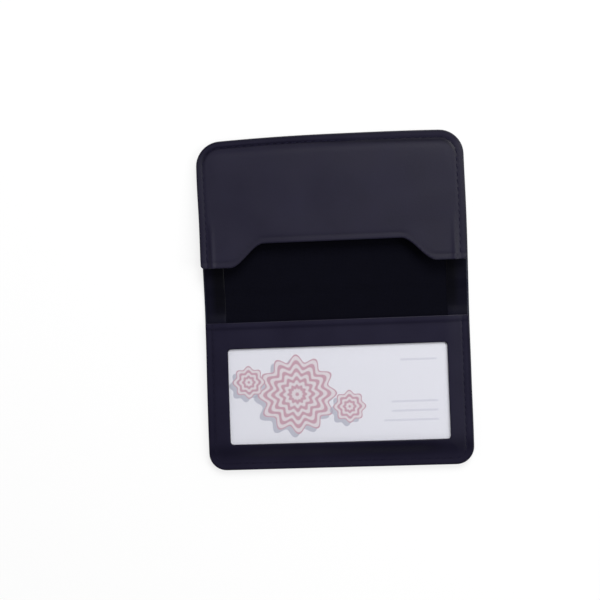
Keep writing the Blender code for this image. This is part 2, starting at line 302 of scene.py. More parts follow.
def new_material(name):
    """Make a material; return it with its node tree, its shader and its Object coordinates."""
    material = bpy.data.materials.new(name)
    material.use_nodes = True
    tree = material.node_tree
    place = add(tree, "TexCoord").outputs["Object"]
    return material, tree, tree.nodes["Principled BSDF"], place


def per_mm(size_mm):
    """Texture scale that gives a pattern of this size, in millimetres."""
    return 1.0 / (size_mm * MM)


def per_band(size_mm):
    """Wave texture scale that gives bands this far apart, in millimetres."""
    return 2 * math.pi / (20 * size_mm * MM)


# %% [markdown]
# ### Smooth calf leather
#
# The covers and pockets are smooth full-grain calf, drum-dyed a very dark navy and lightly
# plated. The colour is near black, a little warmer on the inner pieces, under a broad soft sheen,
# with a grain of fine pebbles about half a millimetre wide that only shows close up. Edges are
# darker and smoother over about 1 mm, partly from real edge ink and burnishing and partly as
# painted shade, and handling has rubbed their very crest paler here and there. Along a seam, in a
# crease and where it slopes over the card's edge the leather is darker and smoother too: the
# seam's press is partly real, the rest is painted shade. All leather but the gussets carries the
# two as marks: its nearness to an edge, and the seam's press with the painted shade. The turned-in
# hem was skived thin and is nearly black and matt; that dark colour is painted shade, for where it
# lies low between the pockets.


# %% Calf leather
def calf_leather(name, deep, pale, rubbed, roughness, shine=0.17, ink_and_shade_colour="#080618"):
    """Drum-dyed calf: mottled colour, pebbled grain, edge ink and seam press with painted shade, and
    rubbed crests.
    """
    material, tree, shader, place = new_material(name)
    near = add(tree, "Attribute", attribute_name="edge_nearness").outputs["Fac"]
    pressed = add(tree, "Attribute", attribute_name="pressed").outputs["Fac"]
    mottle = add(tree, "TexNoise", {"Vector": place, "Scale": per_mm(14.0), "Detail": 5.0})
    colour = add(tree, "Mix", {"Factor": mottle, "A": deep, "B": pale}, data_type="RGBA")
    # The edge band is partly real edge ink and partly painted shade; the second mark adds the seam's
    # press and more painted shade.
    ink = add(tree, "MapRange", {"Value": near, "From Min": 0.45, "From Max": 0.8, "To Max": 0.4},
              interpolation_type="SMOOTHSTEP")
    dark = add(tree, "Math", {0: ink, 1: pressed}, operation="MAXIMUM")
    inked_and_shaded = add(tree, "Mix", {"Factor": dark, "A": colour, "B": ink_and_shade_colour}, data_type="RGBA")
    scuffs = add(tree, "TexNoise", {"Vector": place, "Scale": per_mm(2.2), "Detail": 8.0,
                                    "Roughness": 0.7})
    patchy = add(tree, "MapRange", {"Value": scuffs, "From Min": 0.52, "From Max": 0.7})
    crest = add(tree, "MapRange", {"Value": near, "From Min": 0.82, "To Max": 0.6})
    wear = add(tree, "Math", {0: patchy, 1: crest}, operation="MULTIPLY")
    worn = add(tree, "Mix", {"Factor": wear, "A": inked_and_shaded, "B": rubbed}, data_type="RGBA")
    pebbles = add(tree, "TexVoronoi", {"Vector": place, "Scale": per_mm(0.55)}, feature="SMOOTH_F1")
    creases = add(tree, "TexNoise", {"Vector": place, "Scale": per_mm(1.6), "Detail": 6.0})
    grain = add(tree, "Math", {0: pebbles, 1: creases}, operation="MULTIPLY")
    bump = add(tree, "Bump", {"Height": grain, "Strength": 0.35, "Distance": 0.06 * MM})
    gloss = add(tree, "MapRange", {"Value": mottle, "From Min": 0.3, "From Max": 0.7,
                                   "To Min": roughness - 0.04, "To Max": roughness + 0.04})
    smoother = add(tree, "Math", {0: dark, 1: -0.2, 2: gloss}, operation="MULTIPLY_ADD")
    fill(shader, {"Base Color": worn, "Normal": bump, "Roughness": smoother, "IOR": 1.5,
                  "Specular IOR Level": shine})
    return material


outer_calf = calf_leather("smooth calf, outer", "#0D1123", "#151B2E", "#343A4C", 0.43)
inner_calf = calf_leather("smooth calf, inner", "#120F22", "#19162C", "#3A3748", 0.46, 0.195)
# The hem's near-black colours are painted shade, for where it lies low between the pockets.
hem_calf_painted_shade = calf_leather("smooth calf, inked hem", "#070713", "#0C0B1B", "#22222C", 0.52, 0.07,
                        "#06060A")


# %% [markdown]
# ### Lining cloth and vinyl
#
# The lining is a fine matt cotton, almost black: a plain weave with a faint bloom. The window is
# clear soft vinyl: mostly see-through and glossy, and towards a flat angle its pale colour grows
# more opaque as a painted reflection.

# %% Lining cloth
# The real threads are about 0.2 mm apart; they are drawn at 0.5 mm so that they show.
cotton_lining, tree, shader, place = new_material("plain-woven cotton lining")
warp_way, weft_way = (add(tree, "TexWave", {"Vector": place, "Scale": per_band(0.5)},
                          bands_direction=way).outputs["Fac"] for way in "XY")
weave = add(tree, "Math", {0: warp_way, 1: weft_way}, operation="MULTIPLY")
patches = add(tree, "TexNoise", {"Vector": place, "Scale": per_mm(6.0), "Detail": 4.0})
shade = add(tree, "Math", {0: weave, 1: patches}, operation="MULTIPLY")
colour = add(tree, "Mix", {"Factor": shade, "A": "#03030C", "B": "#0C0C1A"}, data_type="RGBA")
bump = add(tree, "Bump", {"Height": weave, "Strength": 0.5, "Distance": 0.05 * MM})
fill(shader, {"Base Color": colour, "Normal": bump, "Roughness": 0.9,
              "Specular IOR Level": 0.08, "Sheen Weight": 0.02, "Sheen Roughness": 0.4})

# %% Clear vinyl, with slow ripples
vinyl, tree, shader, place = new_material("clear soft vinyl")
ripples = add(tree, "TexNoise", {"Vector": place, "Scale": per_mm(18.0), "Detail": 2.0})
bump = add(tree, "Bump", {"Height": ripples, "Strength": 0.4, "Distance": 0.5 * MM})
facing = add(tree, "LayerWeight", {"Blend": 0.5, "Normal": bump}).outputs["Facing"]
# Painted reflection: towards a flat angle the pale colour grows more opaque.
alpha = add(tree, "MapRange", {"Value": facing, "From Min": 0.3, "To Min": 0.05, "To Max": 0.5})
haze_and_painted_reflection = add(tree, "Mix", {"Factor": ripples, "A": "#D9DBE2", "B": "#E9EAF0"}, data_type="RGBA")
fill(shader, {"Base Color": haze_and_painted_reflection, "Alpha": alpha, "Normal": bump, "Roughness": 0.12,
              "IOR": 1.5})

# %% [markdown]
# ### The card and its print
#
# The card is uncoated white stock. Its print is a plain business-card layout with no words: a
# rose rosette of wavy rings, as on a certificate, between two small ones, with a lilac-grey
# shadow to the lower left, and a few pale rules where lines of writing would be. A rosette is
# drawn from the distance and the angle to its middle, so it needs no picture.

# %% Rosettes
PETAL_DEPTH = 0.09
SOFT_EDGE = 0.1 * MM


def rosette(tree, place, middle, radius, petals, rings):
    """Masks of one rosette: its wavy rings, and the whole flower."""
    flat = add(tree, "VectorMath", {0: place, 1: (1, 1, 0), 2: -middle}, operation="MULTIPLY_ADD")
    reach = add(tree, "VectorMath", {0: flat}, operation="LENGTH")
    parts = add(tree, "SeparateXYZ", {"Vector": flat}).outputs
    angle = add(tree, "Math", {0: parts["Y"], 1: parts["X"]}, operation="ARCTAN2")
    turns = add(tree, "Math", {0: angle, 1: petals}, operation="MULTIPLY")
    petal = add(tree, "Math", {0: turns}, operation="COSINE")
    bulge = add(tree, "Math", {0: petal, 1: PETAL_DEPTH, 2: 1.0 - PETAL_DEPTH},
                operation="MULTIPLY_ADD")
    edge = add(tree, "Math", {0: bulge, 1: radius}, operation="MULTIPLY")
    share = add(tree, "Math", {0: reach, 1: edge}, operation="DIVIDE")
    whole = add(tree, "MapRange", {"Value": share, "From Min": 1.0, "From Max": 0.985})
    phase = add(tree, "Math", {0: share, 1: 2 * math.pi * rings}, operation="MULTIPLY")
    band = add(tree, "Math", {0: phase}, operation="COSINE")
    lines = add(tree, "MapRange", {"Value": band, "From Min": -0.35, "From Max": 0.35})
    return add(tree, "Math", {0: lines, 1: whole}, operation="MULTIPLY"), whole


def between(tree, value, low, high):
    """Mask that is 1 where a value lies between low and high, with soft ends."""
    rise = add(tree, "MapRange", {"Value": value, "From Min": low, "From Max": low + SOFT_EDGE})
    fall = add(tree, "MapRange", {"Value": value, "From Min": high, "From Max": high - SOFT_EDGE})
    return add(tree, "Math", {0: rise, 1: fall}, operation="MULTIPLY")


# %% Card stock
# Places and sizes are in millimetres. A rosette has x, y, radius, petals and rings, and a rule
# has y and its left end.
ROSETTES = ((-16.0, -35.2, 15.5, 12, 5), (-34.5, -30.0, 6.4, 8, 3), (4.0, -40.5, 6.4, 8, 3))
SHADOW_LEFT, SHADOW_DOWN = 1.4, 1.3
RULES = ((-23.6, 24.0), (-39.6, 20.0), (-43.2, 20.0), (-46.8, 17.0))
RULE_RIGHT, RULE_WIDTH = 38.0, 0.9

paper, tree, shader, place = new_material("uncoated card, printed")
parts = add(tree, "SeparateXYZ", {"Vector": place}).outputs
fibre = add(tree, "TexNoise", {"Vector": place, "Scale": per_mm(0.7), "Detail": 4.0})
colour = add(tree, "Mix", {"Factor": fibre, "A": "#DFDFE7", "B": "#E9E9F0"}, data_type="RGBA")
prints = []
for x, y, radius, *form in ROSETTES:
    cast = Vector((x - SHADOW_LEFT, y - SHADOW_DOWN, 0.0)) * MM
    shadow = rosette(tree, place, cast, radius * MM, *form)[1]
    printed, whole = rosette(tree, place, Vector((x, y, 0.0)) * MM, radius * MM, *form)
    prints += [(shadow, 0.75, "#A9AABB"), (whole, 1.0, "#DDD4DA"), (printed, 0.8, "#BB8699")]
for y, left in RULES:
    across = between(tree, parts["X"], left * MM, RULE_RIGHT * MM)
    along = between(tree, parts["Y"], y * MM, (y + RULE_WIDTH) * MM)
    rule = add(tree, "Math", {0: across, 1: along}, operation="MULTIPLY")
    prints.append((rule, 0.5, "#C3C3D2"))
for mask, strength, ink in prints:
    share = add(tree, "Math", {0: mask, 1: strength}, operation="MULTIPLY")
    colour = add(tree, "Mix", {"Factor": share, "A": colour, "B": ink}, data_type="RGBA")
fill(shader, {"Base Color": colour, "Roughness": 0.7})

# %% [markdown]
# ### Thread, board and foil
#
# The thread is bonded polyester in the leather's colour, fairly matt, with its twist as fine
# stripes. The boards inside the covers are grey pulp with pale and dark fibres. The ornament on
# the outside is stamped gold foil with small breaks where the grain shows through.

# %% Bonded thread
thread, tree, shader, place = new_material("bonded polyester thread")
twist = add(tree, "TexWave", {"Vector": place, "Scale": per_band(0.3)},
            bands_direction="DIAGONAL").outputs["Fac"]
colour = add(tree, "Mix", {"Factor": twist, "A": "#0D0B1C", "B": "#17142B"}, data_type="RGBA")
fill(shader, {"Base Color": colour, "Roughness": 0.6, "Specular IOR Level": 0.1})

# %% Pulp board
board, tree, shader, place = new_material("grey pulp board")
fibre = add(tree, "TexNoise", {"Vector": place, "Scale": per_mm(0.8), "Detail": 8.0})
colour = add(tree, "Mix", {"Factor": fibre, "A": "#7C776E", "B": "#948E84"}, data_type="RGBA")
fill(shader, {"Base Color": colour, "Roughness": 0.9})

# %% Hot-stamped gold foil
foil, tree, shader, place = new_material("hot-stamped gold foil")
wear = add(tree, "TexNoise", {"Vector": place, "Scale": per_mm(0.9), "Detail": 6.0})
gold = add(tree, "Mix", {"Factor": wear, "A": "#8F7A4C", "B": "#CDB888"}, data_type="RGBA")
whole = add(tree, "MapRange", {"Value": wear, "From Min": 0.33, "From Max": 0.38})
colour = add(tree, "Mix", {"Factor": whole, "A": "#10141F", "B": gold}, data_type="RGBA")
fill(shader, {"Base Color": colour, "Metallic": whole, "Roughness": 0.35})

# %% [markdown]
# ## Outer leather
#
# One skin of leather covers both boards and the spine between them. On all four sides it is
# turned over the board's edge and glued down as a hem about 8 mm wide. It starts as its outer
# face, a rounded rectangle, whose rim is extruded again and again: round the edge, in along the
# hem, back out under it and in over the inner face. The frame has two fold lines, so the skin is
# cut in two along the middle of the spine.

# %% Where the leather settles
SPINE_DROP = 0.52
EDGE_STEPS = 8
EDGE_DEPTH = 0.75 * MM
HALVES = (("front", 1, "spine", "front_cover", FOLD_Y), ("back", -1, "back_cover", "spine", -FOLD_Y))


def settle(height, y):
    """Lower what lies above the outer leather to the thinner spine, where there is no board."""
    spine = 1.0 - ease(abs(y), FOLD_Y - 3.2 * MM, FOLD_Y + 1.4 * MM)
    return height - SPINE_DROP * spine * max(height - OUTER_LEATHER, 0.0)


def turned_edge():
    """Section of the skin as (inset, height): round the edge, along the hem and back inside."""
    points = []
    for step in range(EDGE_STEPS + 1):
        angle = math.pi * (step / EDGE_STEPS - 0.5)
        points.append((EDGE_DEPTH * (1 - math.cos(angle)), EDGE_TOP / 2 * (1 + math.sin(angle))))
    points += [(HEM_WIDTH - 0.3 * MM, EDGE_TOP), (HEM_WIDTH - 0.08 * MM, EDGE_TOP - 0.1 * MM)]
    points += [(HEM_WIDTH, EDGE_TOP - 0.25 * MM), (HEM_WIDTH, LINING_BOTTOM)]
    points += [(1.0 * MM, LINING_BOTTOM), (1.0 * MM, OUTER_LEATHER)]
    return points


def ring_corner(point, inset):
    """Middle and radius of the round corner that a point of the rim belongs to, at an inset."""
    radius = max((FRONT_CORNER if point.y > 0 else BACK_CORNER) - inset, INSIDE_CORNER)
    x = math.copysign(HALF_WIDTH - inset - radius, point.x)
    y = math.copysign(FREE_EDGE - inset - radius, point.y)
    return Vector((x, y, 0.0)), radius


def skin_shape():
    """Whole skin: the outer face, whose rim is extruded round the edge and in under the hem."""
    shape = bmesh.new()
    (inset, height), *rest = turned_edge()
    face = rounded_outline(shape, HALF_WIDTH - inset, inset - FREE_EDGE, FREE_EDGE - inset,
                           BACK_CORNER - inset, FRONT_CORNER - inset, height)
    rim = face.edges[:]
    for next_inset, next_height in rest:
        made = bmesh.ops.extrude_edge_only(shape, edges=rim)["geom"]
        rim = [part for part in made if isinstance(part, bmesh.types.BMEdge) and part.is_boundary]
        for vertex in {vertex for edge in rim for vertex in edge.verts}:
            middle, radius = ring_corner(vertex.co, inset)
            next_middle, next_radius = ring_corner(vertex.co, next_inset)
            away = (vertex.co - middle).to_2d() * next_radius / radius
            vertex.co = next_middle + Vector((away.x, away.y, next_height))
        inset = next_inset
    bmesh.ops.edgeloop_fill(shape, edges=rim)
    return shape


def keep_half(shape, side):
    """Cut the skin through the middle of the spine and keep the half on one side of it."""
    cut(shape, (0, side, 0), clear=True)
    rim = [edge for edge in shape.edges if edge.is_boundary]
    bmesh.ops.triangle_fill(shape, edges=rim, use_beauty=True)


def warp_skin(point):
    """Settle the skin over the spine, and let its outer face wave very slightly."""
    outside = 1.0 - ease(point.z, 0.0, 0.5 * MM)
    waves = outside * (0.04 * MM + wave(point, 17 * MM, 0.04 * MM, 3.0))
    return on_outline(point, settle(point.z, point.y) + waves)


def skin_inwards(point):
    """Distance of a point of the skin from the outline."""
    radius = FRONT_CORNER if point.y > 0 else BACK_CORNER
    return edge_distance(point, HALF_WIDTH, FREE_EDGE, radius)


def hem_painted_shade(point):
    """Painted shade on the inner half of the hem, but not where it bends down."""
    inside = ease(point.z, OUTER_LEATHER, EDGE_TOP - 0.2 * MM)
    level = 1.0 - bell(point.y, -0.6 * MM - FOLD_Y, 3.4 * MM)
    return 0.8 * level * inside * ease(skin_inwards(point), 2.6 * MM, 5.0 * MM)


def on_hem(face):
    """Whether a face of the flat skin belongs to the turned-in hem."""
    middle = face.calc_center_median()
    return middle.z > OUTER_LEATHER + 0.3 * MM and skin_inwards(middle) > 1.0 * MM


# %% Front and back halves of the skin
# The lattice is coarse on the covers and fine across both folds.
COVER_CUTS = [9.0 + 2.4 * step for step in range(24)]
FOLD_CUTS = [2.5 + 0.4 * step for step in range(17)]
cuts = [sign * place * MM for sign in (-1, 1) for place in COVER_CUTS + FOLD_CUTS]

for cover, side, parent, child, fold in HALVES:
    skin = skin_shape()
    cut_lattice(skin, stations(-HALF_WIDTH, HALF_WIDTH, 2.4 * MM), cuts)
    keep_half(skin, side)
    for face in skin.faces:
        face.material_index = int(on_hem(face))
    leather = new_piece(cover + "_cover_leather", skin, warp_skin, outer_calf, "outer_leather",
                        edge_nearness=lambda point: edge_nearness(skin_inwards(point)),
                        pressed=hem_painted_shade)
    leather.data.materials.append(hem_calf_painted_shade)
    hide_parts(cover + "_leather", "spine_leather")
    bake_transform(leather)

# %% [markdown]
# ## Boards
#
# A stiff board lies inside each cover, between the skin and the lining. The boards are hidden, but
# they follow the same outline as the skin, so that no corner of one comes through it.

# %% Boards
for cover, corners in (("front", (0.0, FRONT_CORNER)), ("back", (BACK_CORNER, 0.0))):
    low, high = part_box(cover + "_board")
    radii = [max(radius - (HALF_WIDTH - high[0]), 0.0) for radius in corners]
    shape = plate(high[0], low[1], high[1], high[2] - low[2], 3 * MM, 3 * MM, radii, low[2])
    stiffener = new_piece(cover + "_stiffener", shape, lambda point: on_outline(point, point.z),
                          board, "stiffener_board")
    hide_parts(cover + "_board")
    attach(stiffener, cover + "_cover")

# %% [markdown]
# ## Lining
#
# The lining is one cloth glued over the boards and down across the spine, with its rim under the
# hem. It is cut at the middle of the spine as the leather is. It is shaped directly, because a
# glued cloth has no free folds for a simulation to find.


# %% Lining of both covers
def warp_lining(point):
    """Lay the lining on the boards and let it drop over their edges to the spine."""
    height = settle(LINING_BOTTOM + point.z, point.y)
    return on_outline(point, height + wave(point, 9 * MM, 0.05 * MM, 11.0))


cuts = [0.5 * MM * step for step in range(1, 24)]
cuts += [(12.0 + 1.5 * step) * MM for step in range(30)]

for cover, side, parent, child, fold in HALVES:
    low, high = sorted((0.0, side * LINING_END))
    cloth = plate(LINING_HALF, low, high, LINING, 1.5 * MM, LINING_END)
    cut_lattice(cloth, [], [side * place for place in cuts])
    lining = new_piece(cover + "_cover_lining", cloth, warp_lining, cotton_lining, "lining")
    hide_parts(cover + "_lining", "spine_lining")
    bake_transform(lining)

# %% [markdown]
# ## Window pocket
#
# A leather frame is sewn down on three sides, and its fourth side is the mouth that the card goes
# in by. The seam presses the leather down beside the edge, and further in it rises over the
# card's edges: its underside at once, and its top, where the leather is full, more slowly. A ring
# of faces between the outline and the window makes the frame. Two height functions, one for the
# underside and one for the top, bend the frame, the vinyl and the stitches together.

# %% The frame's heights
WINDOW_HALF = 42.0 * MM
WINDOW_FAR = -17.0 * MM
WINDOW_NEAR = -53.8 * MM
WINDOW_CORNER = 1.2 * MM
FRAME_CORNER = BACK_CORNER - (HALF_WIDTH - INNER_HALF)
FRAME_MOUTH_CORNER = 0.8 * MM
FRAME_CREASE = 2.4 * MM
FRAME_HEM = 4.9 * MM
TURN_UNDER = 0.3 * MM
FILM = 0.12 * MM


def frame_inwards(point):
    """Distance of a point of the frame from its three sewn sides."""
    return edge_distance(point, INNER_HALF, INNER_FREE_EDGE, FRAME_CORNER)


def groove(distance, middle, depth=GROOVE_DEPTH):
    """Depth of a narrow groove, such as a line of stitches or a crease makes."""
    return depth * bell(distance, middle, GROOVE_WIDTH)


def turned_under(from_mouth, hem):
    """How far down the leather that is turned under at a mouth reaches: thick as far as its hem."""
    return TURN_UNDER * (1.0 - ease(from_mouth, hem - 0.3 * MM, hem + 0.3 * MM))


def frame_height(point):
    """Height of the frame's underside over the seam and the card."""
    inwards = frame_inwards(point)
    over_card = 0.62 * MM * ease(inwards, 1.0 * MM, 5.2 * MM)
    return SEAM_BOTTOM + over_card + 0.24 * MM * ease(inwards, 5.0 * MM, 9.2 * MM)


def frame_top(point):
    """Height of the frame's top: low along the seam, full beside the window, lipped at the mouth."""
    lip = 0.13 * MM * (1.0 - ease(MOUTH_Y - point.y, 1.2 * MM, 3.6 * MM))
    rise = 0.72 * MM * ease(frame_inwards(point), 0.6 * MM, 9.4 * MM)
    swell = ease(INNER_FREE_EDGE + point.y, 4.2 * MM, 9.4 * MM) * ease(-point.y, 30 * MM, 54 * MM)
    rise += 0.8 * MM * swell * ease(WINDOW_HALF - abs(point.x), -3.0 * MM, 12 * MM)
    return SEAM_BOTTOM + POCKET_LEATHER + rise + lip


def warp_frame(point):
    """Press the seam's groove into the frame and turn its mouth edge under."""
    inwards = frame_inwards(point)
    from_mouth = MOUTH_Y - point.y
    low = frame_height(point)
    height = low + (frame_top(point) - low) * point.z / POCKET_LEATHER
    if point.z > POCKET_LEATHER / 2:
        height -= groove(inwards, STITCH_INSET) + groove(from_mouth, FRAME_CREASE)
        height += wave(point, 13 * MM, 0.08 * MM, 21.0)
    else:
        height -= turned_under(from_mouth, FRAME_HEM) * ease(inwards, 3 * MM, 6 * MM)
    return on_outline(point, height)


def frame_shape():
    """Ring between the outline and the window, thickened and with its edges eased."""
    shape = bmesh.new()
    outside = rounded_outline(shape, INNER_HALF, -INNER_FREE_EDGE, MOUTH_Y, FRAME_CORNER,
                              FRAME_MOUTH_CORNER)
    window = rounded_outline(shape, WINDOW_HALF, WINDOW_NEAR, WINDOW_FAR, WINDOW_CORNER, WINDOW_CORNER)
    edges = outside.edges[:] + window.edges[:]
    bmesh.ops.delete(shape, geom=[outside, window], context="FACES_ONLY")
    bmesh.ops.bridge_loops(shape, edges=edges)
    print("frame's face in mm2:", round(sum(face.calc_area() for face in shape.faces) / MM ** 2))
    thicken(shape, POCKET_LEATHER)
    ease_edges(shape, 0.28 * MM)
    cut_lattice(shape, stations(-INNER_HALF, INNER_HALF, 0.45 * MM, 1.8 * MM, 10 * MM),
                stations(-INNER_FREE_EDGE, MOUTH_Y, 0.45 * MM, 1.8 * MM, 10 * MM))
    return shape


def frame_nearness(point):
    """How near a point of the frame is to its outline, its mouth or the window."""
    beside = abs(point.x) - WINDOW_HALF
    beyond = max(point.y - WINDOW_FAR, WINDOW_NEAR - point.y)
    return edge_nearness(frame_inwards(point), 3 * (MOUTH_Y - point.y), 4 * max(beside, beyond))


def frame_seam_and_painted_shade(point):
    """The seam's press, partly painted shade, and painted shade in the crease behind the mouth
    and on the near side, where the leather slopes over the card's edge.
    """
    seam = 0.3 * bell(frame_inwards(point), STITCH_INSET, 0.7 * MM)
    crease = 0.45 * bell(MOUTH_Y - point.y, FRAME_CREASE, 0.7 * MM)
    near_side_painted_shade = bell(WINDOW_NEAR - point.y, 2.8 * MM, 3.3 * MM)
    near_side_painted_shade *= 0.65 + 0.35 * ease(point.x, -15 * MM, 15 * MM) * (1.0 - ease(point.x, 34 * MM, 42 * MM))
    return max(seam, crease, near_side_painted_shade)


def warp_film(point):
    """Lay the vinyl against the frame's underside, with slow ripples of its own."""
    height = frame_height(point) - 1.1 * FILM + point.z
    return on_outline(point, height + wave(point, 16 * MM, 0.03 * MM, 31.0))


# %% The frame, its clear window, and the card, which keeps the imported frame's own shape
window_leather = new_piece("window_leather", frame_shape(), warp_frame, inner_calf, "inner_leather",
                           edge_nearness=frame_nearness, pressed=frame_seam_and_painted_shade)
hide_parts("window_frame")
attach(window_leather, "back_cover")

low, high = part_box("window_film")
film_shape = plate(high[0], low[1], high[1], FILM, 1.2 * MM, 1.2 * MM, (0.5 * MM, 0.5 * MM))
window_vinyl = new_piece("window_vinyl", film_shape, warp_film, vinyl, "clear_window")
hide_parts("window_film")
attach(window_vinyl, "back_cover")

for card_slot in frame["nodes"]["business_card"].material_slots:
    card_slot.material = paper

# %% [markdown]
# ## Gusseted pocket
#
# The pocket is one leather panel. Its far margin is sewn flat through every layer, and from a
# line beside that seam the panel lifts towards its mouth, where two folded gussets hold it up.
# The mouth edge is turned under and has a thumb notch with sloping shoulders. The piece is cut
# flat, with its near edge divided and pushed in along the notch, and then the lifted part is
# bent up about the flex line.

# %% The notch and the lift
PANEL_LENGTH = 45.8 * MM
PANEL_NEAR = FLEX_Y - PANEL_LENGTH
PANEL_UNDERSIDE = MARGIN_TOP - POCKET_LEATHER
PANEL_CORNER = FRONT_CORNER - (HALF_WIDTH - INNER_HALF)
PANEL_MOUTH_CORNER = 1.5 * MM
PANEL_CREASE = 2.2 * MM
OPEN_ANGLE = math.radians(6.5)
NOTCH_DEPTH = 8.9 * MM
NOTCH_TOP_HALF = 39.2 * MM
NOTCH_FLAT_HALF = 26.0 * MM
BEND_START = -0.7 * MM
BEND_LENGTH = 2.4 * MM
PANEL_BOW = 0.45 * MM
PANEL_HEM = 3.0 * MM
MOUTH_CUTS = 120
GLUE = 0.02 * MM


def notch(x):
    """How far the mouth edge is set back at x."""
    return NOTCH_DEPTH * (1.0 - ease(abs(x), NOTCH_FLAT_HALF, NOTCH_TOP_HALF))


def lift(from_flex):
    """Rise of the panel at a distance from the flex line, with a soft start and a slight bow."""
    share = min(max(from_flex / PANEL_LENGTH, 0.0), 1.0)
    bow = 4.0 * PANEL_BOW * share ** 2 * (1.0 - share)
    past_start = from_flex - BEND_START
    soft = min(max(past_start, 0.0), BEND_LENGTH)
    rise = soft ** 2 / (2 * BEND_LENGTH) + max(past_start - BEND_LENGTH, 0.0)
    return math.tan(OPEN_ANGLE) * rise - bow


def raise_panel(point, height):
    """Bend a point of the flat panel up about the flex line, at a height above its own table."""
    from_flex = FLEX_Y - point.y
    y = FLEX_Y - from_flex * math.cos(OPEN_ANGLE) if from_flex > 0 else point.y
    return Vector((*sway(point.x, y), height + lift(from_flex)))


def panel_inwards(point):
    """Distance of a point of the panel from its three sewn sides."""
    return edge_distance(point, INNER_HALF, INNER_FREE_EDGE, PANEL_CORNER)


def behind_mouth(point):
    """Distance of a point of the panel from its mouth edge."""
    return point.y - PANEL_NEAR - notch(point.x)


def near_mouth(point):
    """How near a point of the panel is to its mouth: 1 there, falling to 0 before its middle."""
    return 1.0 - ease(point.y, 16 * MM, 36 * MM)


def panel_press(point):
    """How far the seam presses the leather down by the far edge and, near the mouth, the sides.

    Where the sides are pressed, the leather puckers up into a low ridge just inside the seam."""
    inwards = panel_inwards(point)
    far = 0.06 * MM * (1.0 - ease(inwards, 4.2 * MM, 7.0 * MM)) * ease(point.y, 44 * MM, 58 * MM)
    sides = 0.36 * MM * (1.0 - ease(inwards, 2.8 * MM, 4.4 * MM))
    sides -= 0.19 * MM * bell(inwards, 4.7 * MM, 0.8 * MM)
    return far + sides * near_mouth(point)


def warp_panel(point):
    """Shape the pocket's leather: seam press, stitch groove, turned mouth and lift."""
    height = PANEL_UNDERSIDE + point.z
    if point.z > POCKET_LEATHER / 2:
        height -= panel_press(point) + groove(panel_inwards(point), STITCH_INSET)
        height -= groove(behind_mouth(point), PANEL_CREASE, 0.05 * MM)
        height += wave(point, 14 * MM, 0.10 * MM, 41.0)
    else:
        height -= turned_under(behind_mouth(point), PANEL_HEM)
        height -= (height - SEAM_BOTTOM) * (1.0 - ease(FREE_EDGE - point.y, 2.0 * MM, 3.8 * MM))
    return raise_panel(point, height)


# %% The pocket's leather
def set_back_mouth(shape, face, near, cuts):
    """Divide the near edge of a flat face and push it in along the notch."""
    near += 10 * TOUCH
    mouth = [edge for edge in face.edges if max(vertex.co.y for vertex in edge.verts) < near]
    bmesh.ops.subdivide_edges(shape, edges=mouth, cuts=cuts)
    for vertex in shape.verts:
        if vertex.co.y < near:
            vertex.co.y += notch(vertex.co.x)


def panel_shape():
    """Flat panel with its far corners round and its near edge set back along the notch."""
    shape = bmesh.new()
    face = rounded_outline(shape, INNER_HALF, PANEL_NEAR, INNER_FREE_EDGE, PANEL_MOUTH_CORNER,
                           PANEL_CORNER)
    set_back_mouth(shape, face, PANEL_NEAR, MOUTH_CUTS)
    thicken(shape, POCKET_LEATHER)
    ease_edges(shape, 0.26 * MM)
    cut_lattice(shape, stations(-INNER_HALF, INNER_HALF, 0.45 * MM, 1.4 * MM, 10 * MM),
                stations(PANEL_NEAR, INNER_FREE_EDGE, 0.5 * MM, 1.0 * MM, 12 * MM))
    return shape


def panel_nearness(point):
    """How near a point of the panel is to its outline or its mouth."""
    return edge_nearness(panel_inwards(point), 2 * behind_mouth(point))


def panel_seam_and_painted_shade(point):
    """The seam's press, partly painted shade, darkest and widest along the far edge's right part,
    and painted shade in the crease behind the mouth and on the outer slope of the side ridges."""
    inwards = panel_inwards(point)
    far = ease(point.y, 52 * MM, 59 * MM)
    wider = far * ease(point.x, -20 * MM, 30 * MM)
    seam = (1.0 - 0.15 * wider) * bell(inwards, (2.5 + 0.85 * wider) * MM, (0.65 + 0.35 * wider) * MM)
    seam *= 0.1 + 0.15 * ease(point.y, 22 * MM, 40 * MM) + 0.75 * far
    slope = 0.6 * bell(inwards, 3.8 * MM, 0.6 * MM) * near_mouth(point)
    return max(seam, slope, 0.25 * bell(behind_mouth(point), PANEL_CREASE, 0.7 * MM))


pocket_leather = new_piece("pocket_leather", panel_shape(), warp_panel, inner_calf, "inner_leather",
                           edge_nearness=panel_nearness, pressed=panel_seam_and_painted_shade)
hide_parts("pocket_panel", "pocket_margin")
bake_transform(pocket_leather)

# %% The panel's own lining
BACKING_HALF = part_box("pocket_backing")[1][0]
BACKING_NEAR = PANEL_NEAR + PANEL_HEM


def warp_backing(point):
    """Lay the lining against the panel's underside."""
    return raise_panel(point, PANEL_UNDERSIDE - GLUE - LINING + point.z)


cloth = bmesh.new()
face = rounded_outline(cloth, BACKING_HALF, BACKING_NEAR, FLEX_Y)
set_back_mouth(cloth, face, BACKING_NEAR, MOUTH_CUTS // 2)
thicken(cloth, LINING)
cut_lattice(cloth, stations(-BACKING_HALF, BACKING_HALF, 2 * MM), stations(BACKING_NEAR, FLEX_Y, 2 * MM))
area = sum(face.calc_area() for face in cloth.faces) / 2
backing = new_piece("panel_lining", cloth, warp_backing, cotton_lining, "lining")
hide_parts("pocket_backing")
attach(backing, "pocket")

# %% [markdown]
# ## Gussets
#
# Each gusset is a strip of thin leather folded down its middle like a bellows. One edge is sewn
# to the cover, the other to the panel, and the fold points into the pocket. The strip is made
# flat, cut into a lattice and folded by a function that narrows with the wedge under the panel.

# %% Folding a strip
GUSSET_LEATHER = 0.4 * MM
(GUSSET_FOLD, GUSSET_NEAR, _), (GUSSET_OUTSIDE, GUSSET_FAR, _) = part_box("gusset_right")
GUSSET_HALF = 12.0 * MM
GUSSET_TUCK = 0.24 * MM
SEWN_SHARE = 0.3
SEWN_REACH = 0.34
FOLD_ROUNDING = 0.22


